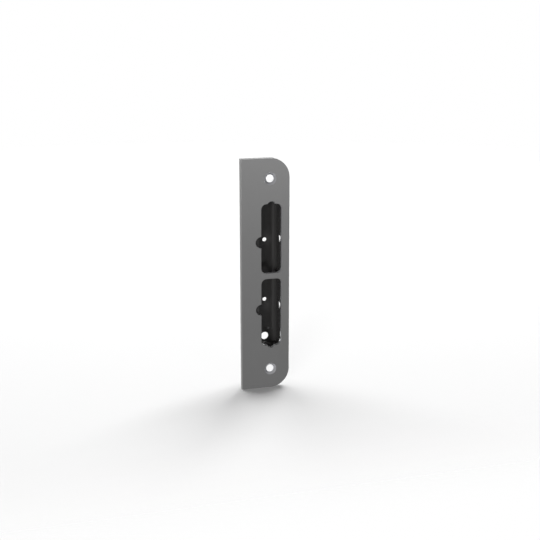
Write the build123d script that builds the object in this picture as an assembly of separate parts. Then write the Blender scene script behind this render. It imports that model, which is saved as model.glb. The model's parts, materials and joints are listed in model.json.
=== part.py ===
from build123d import *
from math import cos, radians, sin
import os

# Strike plate with a closed bolt box behind it, in millimetres.
# X runs across the plate, with the rounded side at +X. Y runs from the front face into the frame of
# the door, and Z is up. The origin is the middle of the two fixing holes, on the plate's back face,
# which is the face that seats. The whole part mirrors about Z = 0, so it serves either hand.

# Face plate
plate_height = 170.0
plate_width = 35.5
plate_thickness = 4.0
plate_corner_radius = 14.0
plate_edge_round = 0.4

# Countersunk fixing holes, on a vertical line
fixing_pitch = 141.0
fixing_to_rounded_edge = 14.1
fixing_hole_diameter = 5.5
countersink_diameter = 8.8
countersink_angle = 90.0

# Two bolt openings, one above the other, with a bridge between them
opening_centre_to_rounded_edge = 13.2
opening_width = 15.0
opening_height = 50.4
opening_corner_radius = 3.8
opening_edge_break = 0.2
bridge_height = 4.2

# A round notch in the far end of each opening, and a half-round bite in its square side
end_notch_radius = 3.2
end_notch_inset = 1.4
side_bite_radius = 4.1
side_bite_height = 25.0

# Bolt box, one thin moulding whose flat rim seats on the plate's back
box_wall = 1.0
box_side_clearance = 1.0
box_end_clearance = 3.5
box_depth = 15.2
box_back_corner_radius = 3.0
box_end_corner_radius = 1.5
rim_reach = 3.0
rim_thickness = 1.2
rim_corner_radius = 4.0
rim_edge_round = 0.3

# Screw holes in the back wall of the box, on the openings' centre line
guide_hole_diameter = 3.0
guide_hole_height = 22.7
anchor_hole_diameter = 5.8
anchor_hole_to_opening_end = 1.2

# Slanted screw holes through the box's side wall, across from the side bites
slant_hole_diameter = 5.0
slant_angle = 55.0
slant_hole_depth = 5.6

# Where the features lie, from the sizes above
rounded_edge_x = fixing_to_rounded_edge
plate_middle_x = rounded_edge_x - plate_width / 2
opening_x = rounded_edge_x - opening_centre_to_rounded_edge
bite_x = opening_x - opening_width / 2
opening_end_z = bridge_height / 2 + opening_height
opening_middle_z = bridge_height / 2 + opening_height / 2
end_notch_z = opening_end_z - end_notch_inset
anchor_hole_z = opening_end_z - anchor_hole_to_opening_end
cavity_width = opening_width + 2 * box_side_clearance
cavity_height = 2 * (opening_end_z + box_end_clearance)
far_wall_x = opening_x + cavity_width / 2
both_ends = (1, -1)


def plate_outline():
    """A tall rectangle with large round corners on one side and square ones on the other."""
    outline = Pos(plate_middle_x, 0) * Rectangle(plate_width, plate_height)
    rounded = outline.vertices().group_by(Axis.X)[-1]
    return fillet(rounded, plate_corner_radius)


def opening_outline(end):
    """One bolt opening with its notch and its bite; end is 1 above the bridge and -1 below it."""
    slot = RectangleRounded(opening_width, opening_height, opening_corner_radius)
    notch = Pos(opening_x, end * end_notch_z) * Circle(end_notch_radius)
    bite = Pos(bite_x, end * side_bite_height) * Circle(side_bite_radius)
    return Pos(opening_x, end * opening_middle_z) * slot + notch + bite


def fixing_hole(end):
    """The cutter of one countersunk hole, with its mouth on the front face."""
    mouth = Plane(origin=(0, -plate_thickness, end * fixing_pitch / 2), z_dir=(0, -1, 0))
    return mouth * CounterSinkHole(
        radius=fixing_hole_diameter / 2,
        counter_sink_radius=countersink_diameter / 2,
        depth=plate_thickness,
        counter_sink_angle=countersink_angle,
    )


def front_face(solid):
    """The flat face that lies furthest forward."""
    return solid.faces().sort_by(Axis.Y)[0]


def face_plate():
    """The flat plate: two bolt openings with broken edges, and two countersunk holes."""
    plate = extrude(Plane.XZ * plate_outline(), plate_thickness)
    for end in both_ends:
        plate -= extrude(Plane.XZ * opening_outline(end), plate_thickness)
    plate = fillet(front_face(plate).outer_wire().edges(), plate_edge_round)
    mouths = [wire.edges() for wire in front_face(plate).inner_wires()]
    plate = chamfer([edge for mouth in mouths for edge in mouth], opening_edge_break)
    for end in both_ends:
        plate -= fixing_hole(end)
    return plate


def box_form(width, height, depth, back_radius, end_radius):
    """A block behind the plate with two round back corners all down it and smaller ones at its ends."""
    section = Pos(opening_x, depth / 2) * Rectangle(width, depth)
    section = fillet(section.vertices().group_by(Axis.Y)[-1], back_radius)
    form = extrude(section, height / 2, both=True)
    ends = form.faces().sort_by(Axis.Z)
    rims = [end.edges().sort_by(Axis.Y)[1:] for end in (ends[0], ends[-1])]
    return fillet([edge for rim in rims for edge in rim], end_radius)


def box_rim():
    """The flat rim round the mouth of the box, its outer edge broken at the back."""
    reach = 2 * (box_wall + rim_reach)
    outline = RectangleRounded(cavity_width + reach, cavity_height + reach, rim_corner_radius)
    rim = extrude(Plane.XZ * Pos(opening_x, 0) * outline, -rim_thickness)
    back = rim.faces().sort_by(Axis.Y)[-1]
    return fillet(back.edges(), rim_edge_round)


def back_hole(height, diameter):
    """The cutter of one hole through the back wall of the box."""
    middle = Plane(origin=(opening_x, box_depth + box_wall / 2, height), z_dir=(0, 1, 0))
    return middle * Cylinder(diameter / 2, 2 * box_wall)


def slanted_hole(end):
    """The cutter of one slanted hole through the side wall that lies across from a side bite."""
    aim = (sin(radians(slant_angle)), cos(radians(slant_angle)), 0)
    middle = Plane(origin=(far_wall_x, slant_hole_depth, end * side_bite_height), z_dir=aim)
    return middle * Cylinder(slant_hole_diameter / 2, 2 * slant_hole_diameter)


def strike_box():
    """The moulded box: an even wall with round back corners, its flat rim and its screw holes."""
    outside = box_form(
        cavity_width + 2 * box_wall,
        cavity_height + 2 * box_wall,
        box_depth + box_wall,
        box_back_corner_radius + box_wall,
        box_end_corner_radius + box_wall,
    )
    inside = box_form(
        cavity_width,
        cavity_height,
        box_depth,
        box_back_corner_radius,
        box_end_corner_radius,
    )
    box = outside + box_rim() - inside
    for end in both_ends:
        box -= back_hole(end * guide_hole_height, guide_hole_diameter)
        box -= back_hole(end * anchor_hole_z, anchor_hole_diameter)
        box -= slanted_hole(end)
    return box


os.makedirs("parts", exist_ok=True)
export_step(face_plate(), "parts/face_plate.step")
export_step(strike_box(), "parts/strike_box.step")
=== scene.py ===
"""Looks of a strike plate: satin steel face, cut edges in two bands and a glossy black bolt box."""

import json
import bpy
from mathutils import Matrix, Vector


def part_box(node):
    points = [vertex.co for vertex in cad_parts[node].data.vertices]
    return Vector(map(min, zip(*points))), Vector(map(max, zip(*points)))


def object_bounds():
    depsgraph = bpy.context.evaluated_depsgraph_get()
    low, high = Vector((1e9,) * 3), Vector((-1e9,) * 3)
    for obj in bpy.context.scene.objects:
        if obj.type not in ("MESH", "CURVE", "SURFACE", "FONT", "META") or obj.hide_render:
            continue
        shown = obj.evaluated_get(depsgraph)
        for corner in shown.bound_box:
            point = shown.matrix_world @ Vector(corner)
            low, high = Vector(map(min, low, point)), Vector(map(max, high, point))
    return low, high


bl_info = {
    "name": "Strike Plate",
    "version": (1, 0, 0),
    "blender": (4, 5, 0),
    "location": "View3D > Sidebar > Strike Plate",
    "description": "Finishes a strike plate's steel face and moulded bolt box, and sets its studio",
    "category": "Object",
}

from math import pi

import bmesh
import bpy
from mathutils import Vector

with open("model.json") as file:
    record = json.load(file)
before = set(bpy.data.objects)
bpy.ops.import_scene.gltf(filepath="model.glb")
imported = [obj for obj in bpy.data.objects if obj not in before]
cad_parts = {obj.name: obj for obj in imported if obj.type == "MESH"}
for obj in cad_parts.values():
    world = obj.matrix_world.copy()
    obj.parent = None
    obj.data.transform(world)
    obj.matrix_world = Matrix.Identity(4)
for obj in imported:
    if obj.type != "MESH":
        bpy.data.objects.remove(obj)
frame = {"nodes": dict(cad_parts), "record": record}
cad_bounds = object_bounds()
plate_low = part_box("face_plate")[0]
rim_low, rim_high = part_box("strike_box")
mounts = {mount["name"]: mount for mount in frame["record"]["mounts"]}

# The plate's front face, and its two countersunk holes on the line x = 0, in metres
FRONT_Y = plate_low[1]
SINK_HEIGHT = mounts["fixing_holes"]["dims"]["spacing_y_mm"] / 2000
BORE_RADIUS = mounts["fixing_holes"]["dims"]["hole_r_mm"] / 1000
SINK_RADIUS = 0.0044

# How near a point on a flat side of the plate is to it, and how far off it another one is
ON_FACE = 0.00001
OFF_FACE = 0.00003

# Depths from the plate's front: where the openings' broken edge ends, and where the torn band of
# their cut edges ends, with half the width of its soft border
EDGE_BREAK = 0.0002
TORN_BAND = 0.0024
TORN_BORDER = 0.0002

# The outline of the bolt box's rim, which lies round both openings, and how much smaller the cavity
# is on each side, by the rim's reach and the wall
RIM_X = (rim_low[0] + rim_high[0]) / 2
RIM_HALF_WIDTH = (rim_high[0] - rim_low[0]) / 2
RIM_HALF_HEIGHT = rim_high[2]
RIM_AND_WALL = 0.0040
CAVITY_DEPTH = mounts["guide_holes"]["pos_m"][1]

# How far past the cavity's faces its finish reaches
SKIN = 0.0002

# Scales of the noise along each axis, per metre
STEEL_CLOUDS = (45.0, 45.0, 20.0)
PLASTIC_CLOUDS = (60.0, 60.0, 25.0)
PLASTIC_SPECKS = (2200.0, 2200.0, 2200.0)

# How many times longer than wide a line of the grain is, and the spacing of the turned rings
GRAIN_LENGTH = 60
TURNED_RING = 0.00025

# How dark and how light a colour gets, as shares of it, on most sides, and on the plate's outer ones,
# which are painted lighter than the rest as a painted sheen
TONES = (0.85, 1.15)
PAINTED_SHEEN_TONES = (1.15, 1.45)

# How much the grain and the clouds sway the steel's tone, and how much they change the roughness
SWAY = 0.3
GRAIN_DULLING = 0.12
STEEL_DULLING = 0.04
PLASTIC_DULLING = 0.08

# Bumps, each with its strength and height, and how high the turned rings are beside the grain
STEEL_BUMP = (0.12, 0.00002)
PLASTIC_BUMP = (0.05, 0.00001)
RING_BUMP = 0.3

# How dull the clear gloss on the outside of the box is
COAT_ROUGHNESS = 0.3

# The floor's grey and its corners, and where it is gone and where whole: outwards as shares of its
# radius, and to the front as places along Y
FLOOR_LEVEL = 0.82
FLOOR_SEGMENTS = 96
FLOOR_FADE = (0.9, 0.4)
FRONT_FADE = (-0.21, -0.08)

# Lamps, each with its name, place, side and power, all aimed at the middle of the plate
LAMPS = (
    ("lamp_behind_left", (-0.50, 1.30, 1.61), 1.6, 24.8),
    ("lamp_behind_right", (1.07, 0.96, 2.19), 1.2, 48.9),
    ("lamp_front_left", (-0.93, -1.58, 0.15), 0.5, 20.0),
    ("lamp_front_right", (0.38, -1.33, 0.12), 0.5, 2.2),
)


class Value:
    """A number that a shader works out: Python's operators on it add Math nodes."""

    def __init__(self, shader, socket):
        self.shader = shader
        self.socket = socket

    def math(self, operation, *others):
        values = {i + 1: other for i, other in enumerate(others)}
        return self.shader.node("ShaderNodeMath", {"operation": operation}, {0: self, **values})

    def __add__(self, other):
        return self.math("ADD", other)

    __radd__ = __add__

    def __mul__(self, other):
        return self.math("MULTIPLY", other)

    __rmul__ = __mul__

    def __sub__(self, other):
        return self.math("SUBTRACT", other)

    def __rsub__(self, other):
        return self * -1.0 + other

    def __abs__(self):
        return self.math("ABSOLUTE")

    def __pow__(self, other):
        return self.math("POWER", other)

    def least(self, other):
        return self.math("MINIMUM", other)

    def most(self, other):
        return self.math("MAXIMUM", other)

    def sine(self):
        return self.math("SINE")

    def root(self):
        return self.math("SQRT")

    def above(self, level):
        return self.math("GREATER_THAN", level)

    def below(self, level):
        return self.math("LESS_THAN", level)

    def step(self, start, end):
        """A smooth step from 0 at start to 1 at end."""
        settings = {"interpolation_type": "SMOOTHSTEP"}
        return self.shader.node("ShaderNodeMapRange", settings, {0: self, 1: start, 2: end})


class Shader:
    """The nodes of one material or world, from an empty tree."""

    def __init__(self, holder):
        holder.use_nodes = True
        self.tree = holder.node_tree
        self.tree.nodes.clear()
        self.coordinates = self.add("ShaderNodeTexCoord").outputs

    def add(self, kind, settings=None, inputs=None):
        """Adds one node: its settings first, then the values or links of its sockets."""
        made = self.tree.nodes.new(kind)
        for key, setting in (settings or {}).items():
            setattr(made, key, setting)
        for key, given in (inputs or {}).items():
            source = given.socket if isinstance(given, Value) else given
            if isinstance(source, bpy.types.NodeSocket):
                self.tree.links.new(source, made.inputs[key])
            else:
                made.inputs[key].default_value = source
        return made

    def node(self, kind, settings=None, inputs=None, output=0):
        """Adds one node and gives one of its outputs as a value."""
        made = self.add(kind, settings, inputs)
        return Value(self, made.outputs[output])

    def axes(self, vector):
        """The three parts of a vector as values."""
        parts = self.add("ShaderNodeSeparateXYZ", None, {0: vector})
        return [Value(self, out) for out in parts.outputs]

    def mix(self, factor, first, second):
        """A number between two others."""
        return self.node("ShaderNodeMix", {"data_type": "FLOAT"}, {0: factor, 2: first, 3: second})


class Finish(Shader):
    """One material."""

    def __init__(self, name):
        self.material = bpy.data.materials.new(name)
        super().__init__(self.material)
        self.place = self.coordinates["Object"]

    def noise(self, scales, detail=3.0, seed=0.0):
        """Noise with its own scale along each axis, about 0.5 in the mean."""
        mapping = self.node(
            "ShaderNodeMapping",
            {"vector_type": "POINT"},
            {"Vector": self.place, "Scale": scales, "Location": (seed, seed, seed)},
        )
        return self.node(
            "ShaderNodeTexNoise",
            {"noise_dimensions": "3D"},
            {"Vector": mapping, "Scale": 1.0, "Detail": detail},
        )

    def blend(self, factor, first, second):
        """A colour between two others."""
        inputs = {0: factor, 6: first, 7: second}
        return self.node("ShaderNodeMix", {"data_type": "RGBA"}, inputs, output=2)

    def vary(self, factor, colour, tones):
        """A colour that goes from its darker to its lighter tone."""
        darker, lighter = tones
        return self.blend(factor, tone(colour, darker), tone(colour, lighter))

    def bump(self, height, strength, distance):
        """A surface direction that follows a height."""
        inputs = {"Height": height, "Strength": strength, "Distance": distance}
        return self.node("ShaderNodeBump", None, inputs)

    def surface(self, inputs):
        """Ends the material in a Principled shader."""
        principled = self.add("ShaderNodeBsdfPrincipled", None, inputs)
        self.add("ShaderNodeOutputMaterial", None, {"Surface": principled.outputs[0]})
        return self.material


def grey(level):
    """A colour with three equal parts."""
    return (level, level, level, 1.0)


def tone(colour, level=1.0):
    """A colour made lighter or darker."""
    return tuple(min(1.0, part * level) for part in colour) + (1.0,)


class StrikePlateFace(bpy.types.PropertyGroup):
    steel: bpy.props.FloatVectorProperty(
        name="Steel",
        description="Colour of the satin steel",
        subtype="COLOR",
        size=3,
        default=(0.128, 0.128, 0.128),
        min=0.0,
        max=1.0,
    )
    steel_roughness: bpy.props.FloatProperty(
        name="Steel roughness",
        description="How dull the plate's flat and outer sides are",
        subtype="FACTOR",
        default=0.36,
        min=0.0,
        max=1.0,
    )
    grain: bpy.props.FloatProperty(
        name="Grain",
        description="Width of one line of the grain",
        unit="LENGTH",
        default=0.00015,
    )
    smooth: bpy.props.FloatVectorProperty(
        name="Smooth edge",
        description="Colour of the smooth band of the cut edges, and of the fixing holes' bores",
        subtype="COLOR",
        size=3,
        default=(0.86, 0.87, 0.88),
        min=0.0,
        max=1.0,
    )
    smooth_roughness: bpy.props.FloatProperty(
        name="Smooth edge roughness",
        description="How dull the smooth band and the bores are",
        subtype="FACTOR",
        default=0.18,
        min=0.0,
        max=1.0,
    )
    torn: bpy.props.FloatVectorProperty(
        name="Torn edge",
        description="Colour of the torn band of the cut edges",
        subtype="COLOR",
        size=3,
        default=(0.28, 0.28, 0.29),
        min=0.0,
        max=1.0,
    )
    torn_roughness: bpy.props.FloatProperty(
        name="Torn edge roughness",
        description="How dull the torn band is",
        subtype="FACTOR",
        default=0.6,
        min=0.0,
        max=1.0,
    )
    sunk: bpy.props.FloatVectorProperty(
        name="Countersinks",
        description="Colour of the turned countersinks",
        subtype="COLOR",
        size=3,
        default=(0.26, 0.26, 0.27),
        min=0.0,
        max=1.0,
    )
    sunk_roughness: bpy.props.FloatProperty(
        name="Countersink roughness",
        description="How dull the turned countersinks are",
        subtype="FACTOR",
        default=0.3,
        min=0.0,
        max=1.0,
    )


class StrikePlateBox(bpy.types.PropertyGroup):
    plastic: bpy.props.FloatVectorProperty(
        name="Plastic",
        description="Colour of the moulded box",
        subtype="COLOR",
        size=3,
        default=(0.046, 0.045, 0.0445),
        min=0.0,
        max=1.0,
    )
    shine: bpy.props.FloatProperty(
        name="Shine",
        description="How much of the light the plastic's skin reflects",
        subtype="FACTOR",
        default=0.12,
        min=0.0,
        max=1.0,
    )
    inside_roughness: bpy.props.FloatProperty(
        name="Inside roughness",
        description="How dull the inside of the box is",
        subtype="FACTOR",
        default=0.08,
        min=0.0,
        max=1.0,
    )
    outside_roughness: bpy.props.FloatProperty(
        name="Outside roughness",
        description="How dull the outside of the box is",
        subtype="FACTOR",
        default=0.34,
        min=0.0,
        max=1.0,
    )
    outside_gloss: bpy.props.FloatProperty(
        name="Outside gloss",
        description="How much clear gloss lies over the outside of the box",
        subtype="FACTOR",
        default=0.5,
        min=0.0,
        max=1.0,
    )


class StrikePlateStudio(bpy.types.PropertyGroup):
    camera_place: bpy.props.FloatVectorProperty(
        name="Camera",
        description="Where the camera stands",
        subtype="TRANSLATION",
        unit="LENGTH",
        size=3,
        default=(-0.18421, -0.65157, 0.18605),
    )
    camera_target: bpy.props.FloatVectorProperty(
        name="Aim",
        description="The point that the camera looks at",
        subtype="TRANSLATION",
        unit="LENGTH",
        size=3,
        default=(0.00079, 0.0, 0.00353),
    )
    lens: bpy.props.FloatProperty(
        name="Lens",
        description="Focal length in millimetres",
        unit="CAMERA",
        default=65.0,
    )
    floor_radius: bpy.props.FloatProperty(
        name="Floor",
        description="How far the round floor reaches",
        unit="LENGTH",
        default=1.6,
    )
    fill: bpy.props.FloatProperty(
        name="Fill",
        description="Strength of the soft light from the sides; from behind it is double",
        default=0.22,
        min=0.0,
    )


class STRIKEPLATE_OT_face(bpy.types.Operator):
    """Gives the face plate its satin steel, banded cut edges and turned countersinks"""

    bl_idname = "strike_plate.face"
    bl_label = "Finish Face Plate"

    def execute(self, context):
        wear(frame["nodes"]["face_plate"], satin_steel(context.scene.strike_plate_face))
        return {"FINISHED"}


class STRIKEPLATE_OT_box(bpy.types.Operator):
    """Gives the bolt box its glossy black moulding inside and its duller outside"""

    bl_idname = "strike_plate.box"
    bl_label = "Finish Bolt Box"

    def execute(self, context):
        wear(frame["nodes"]["strike_box"], black_moulding(context.scene.strike_plate_box))
        return {"FINISHED"}


class STRIKEPLATE_OT_studio(bpy.types.Operator):
    """Sets the pale floor, the soft lamps, the world and the camera"""

    bl_idname = "strike_plate.studio"
    bl_label = "Set Studio"

    def execute(self, context):
        settings = context.scene.strike_plate_studio
        scene = context.scene
        scene.view_settings.view_transform = "Standard"
        lay_floor(settings.floor_radius)
        light_world(scene, settings.fill)
        for name, place, side, power in LAMPS:
            hang_lamp(name, Vector(place), side, power)
        scene.camera = place_camera(settings)
        return {"FINISHED"}


class VIEW3D_PT_strike_plate(bpy.types.Panel):
    """Lists the strike plate's finishes and its studio"""

    bl_label = "Strike Plate"
    bl_space_type = "VIEW_3D"
    bl_region_type = "UI"
    bl_category = "Strike Plate"

    def draw(self, context):
        groups = (
            (context.scene.strike_plate_face, STRIKEPLATE_OT_face),
            (context.scene.strike_plate_box, STRIKEPLATE_OT_box),
            (context.scene.strike_plate_studio, STRIKEPLATE_OT_studio),
        )
        for settings, operator in groups:
            part = self.layout.box()
            for name in settings.__annotations__:
                part.prop(settings, name)
            part.operator(operator.bl_idname)


def plate_masks(finish):
    """Masks of the plate's flat sides, cut edges, torn band and countersinks, and the turned rings."""
    x, y, z = finish.axes(finish.place)
    depth = y - FRONT_Y
    height = abs(z)
    front = depth.step(OFF_FACE, ON_FACE)
    back = y.step(-OFF_FACE, -ON_FACE)
    opening = (
        abs(x - RIM_X).below(RIM_HALF_WIDTH)
        * height.below(RIM_HALF_HEIGHT)
        * depth.above(EDGE_BREAK)
    )
    torn = opening * depth.step(TORN_BAND + TORN_BORDER, TORN_BAND - TORN_BORDER)
    from_sink = (x * x + (height - SINK_HEIGHT) ** 2.0).root()
    sink = from_sink.below(SINK_RADIUS)
    cone = sink * from_sink.above(BORE_RADIUS)
    cut = opening.most(sink) * (1.0 - back)
    rings = (from_sink * (2 * pi / TURNED_RING)).sine() * cone
    return front.most(back), cut, torn, cone, rings


def satin_steel(settings):
    """Satin steel with an upright grain, outer sides painted lighter as a painted sheen, cut edges in
    two bands and turned countersinks.
    """
    finish = Finish("satin_steel")
    flat, cut, torn, cone, rings = plate_masks(finish)
    lines = 1.0 / settings.grain
    grain = finish.noise((lines, lines, lines / GRAIN_LENGTH))
    cloud = finish.noise(STEEL_CLOUDS, seed=4.0)

    shade = ((grain - 0.5) * SWAY * flat + (cloud - 0.5) * SWAY + 0.5).least(1.0).most(0.0)
    # The plate's outer sides get a lighter copy of the steel, a painted sheen, with a random clouded
    # tone in it
    sides = finish.vary(cloud, settings.steel, PAINTED_SHEEN_TONES)
    steel = finish.blend(flat, sides, finish.vary(shade, settings.steel, TONES))
    edge = finish.blend(torn, tone(settings.smooth), tone(settings.torn))
    edge = finish.blend(cone, edge, tone(settings.sunk))

    dullness = finish.mix(torn, settings.smooth_roughness, settings.torn_roughness)
    dullness = finish.mix(cone, dullness, settings.sunk_roughness)
    dullness = finish.mix(cut, settings.steel_roughness, dullness)
    sway = (grain - 0.5) * GRAIN_DULLING * flat + (cloud - 0.5) * STEEL_DULLING
    return finish.surface(
        {
            "Base Color": finish.blend(cut, steel, edge),
            "Metallic": 1.0 - torn,
            "Roughness": dullness + sway,
            "Normal": finish.bump(grain * flat + rings * RING_BUMP, *STEEL_BUMP),
        }
    )


def black_moulding(settings):
    """Black plastic, glossy in the cavity and on the rim's front, and duller outside."""
    finish = Finish("black_moulding")
    x, y, z = finish.axes(finish.place)
    cloud = finish.noise(PLASTIC_CLOUDS)
    speck = finish.noise(PLASTIC_SPECKS, detail=1.0, seed=2.0)
    cavity = (
        abs(x - RIM_X).below(RIM_HALF_WIDTH - RIM_AND_WALL + SKIN)
        * abs(z).below(RIM_HALF_HEIGHT - RIM_AND_WALL + SKIN)
        * y.below(CAVITY_DEPTH + SKIN)
    )
    inside = cavity.most(y.below(SKIN))
    dullness = finish.mix(inside, settings.outside_roughness, settings.inside_roughness)
    return finish.surface(
        {
            "Base Color": finish.vary(cloud, settings.plastic, TONES),
            "Metallic": 0.0,
            "Roughness": dullness + (cloud - 0.5) * PLASTIC_DULLING,
            "Specular IOR Level": settings.shine,
            "Coat Weight": (1.0 - inside) * settings.outside_gloss,
            "Coat Roughness": COAT_ROUGHNESS,
            "Normal": finish.bump(speck, *PLASTIC_BUMP),
        }
    )


def wear(piece, material):
    """Puts one material on all of a piece."""
    piece.data.materials.clear()
    piece.data.materials.append(material)


def new_piece(name, mesh):
    """An object at the origin, from a bmesh that is then freed."""
    data = bpy.data.meshes.new(name)
    mesh.to_mesh(data)
    mesh.free()
    piece = bpy.data.objects.new(name, data)
    bpy.context.scene.collection.objects.link(piece)
    return piece


def lay_floor(radius):
    """A round pale floor that fades into the background and doesn't show in reflections."""
    mesh = bmesh.new()
    bmesh.ops.create_circle(mesh, cap_ends=True, segments=FLOOR_SEGMENTS, radius=radius)
    bmesh.ops.translate(mesh, vec=(0.0, 0.0, cad_bounds[0][2]), verts=mesh.verts)
    floor = new_piece("studio_floor", mesh)
    finish = Finish("pale_floor")
    x, y = finish.axes(finish.place)[:2]
    away = (x * x + y * y).root()
    gone, whole = FLOOR_FADE
    shown = away.step(radius * gone, radius * whole) * y.step(*FRONT_FADE)
    path = finish.add("ShaderNodeLightPath").outputs
    pale = {
        "Base Color": grey(FLOOR_LEVEL),
        "Roughness": 1.0,
        "Specular IOR Level": 0.0,
        "Alpha": shown * (1.0 - Value(finish, path["Is Glossy Ray"])),
    }
    wear(floor, finish.surface(pale))


def light_world(scene, fill):
    """White to the eye and in reflections; on surfaces, a soft fill that grows towards the back."""
    world = bpy.data.worlds.new("studio_world")
    scene.world = world
    shader = Shader(world)
    path = shader.add("ShaderNodeLightPath").outputs
    seen = Value(shader, path["Is Camera Ray"]).most(path["Is Glossy Ray"])
    seen = seen.most(path["Is Transmission Ray"])
    y = shader.axes(shader.coordinates["Generated"])[1]
    soft = (y + 1.0) * fill
    inputs = {"Color": grey(1.0), "Strength": shader.mix(seen, soft, 1.0)}
    background = shader.add("ShaderNodeBackground", None, inputs)
    shader.add("ShaderNodeOutputWorld", None, {"Surface": background.outputs[0]})


def hang_lamp(name, place, side, power):
    """A square soft lamp aimed at the plate."""
    data = bpy.data.lights.new(name, "AREA")
    data.shape = "SQUARE"
    data.size = side
    data.energy = power
    lamp = bpy.data.objects.new(name, data)
    lamp.location = place
    lamp.rotation_euler = (-place).to_track_quat("-Z", "Y").to_euler()
    bpy.context.scene.collection.objects.link(lamp)


def place_camera(settings):
    """A camera that looks from its place at its target."""
    data = bpy.data.cameras.new("camera")
    data.lens = settings.lens
    camera = bpy.data.objects.new("camera", data)
    place, target = Vector(settings.camera_place), Vector(settings.camera_target)
    camera.location = place
    camera.rotation_euler = (target - place).to_track_quat("-Z", "Y").to_euler()
    bpy.context.scene.collection.objects.link(camera)
    return camera


CLASSES = (
    StrikePlateFace,
    StrikePlateBox,
    StrikePlateStudio,
    STRIKEPLATE_OT_face,
    STRIKEPLATE_OT_box,
    STRIKEPLATE_OT_studio,
    VIEW3D_PT_strike_plate,
)


def register():
    for entry in CLASSES:
        bpy.utils.register_class(entry)
    bpy.types.Scene.strike_plate_face = bpy.props.PointerProperty(type=StrikePlateFace)
    bpy.types.Scene.strike_plate_box = bpy.props.PointerProperty(type=StrikePlateBox)
    bpy.types.Scene.strike_plate_studio = bpy.props.PointerProperty(type=StrikePlateStudio)


def unregister():
    del bpy.types.Scene.strike_plate_studio
    del bpy.types.Scene.strike_plate_box
    del bpy.types.Scene.strike_plate_face
    for entry in reversed(CLASSES):
        bpy.utils.unregister_class(entry)


def main():
    register()
    bpy.ops.strike_plate.studio()
    bpy.ops.strike_plate.face()
    bpy.ops.strike_plate.box()


if __name__ == "__main__":
    main()
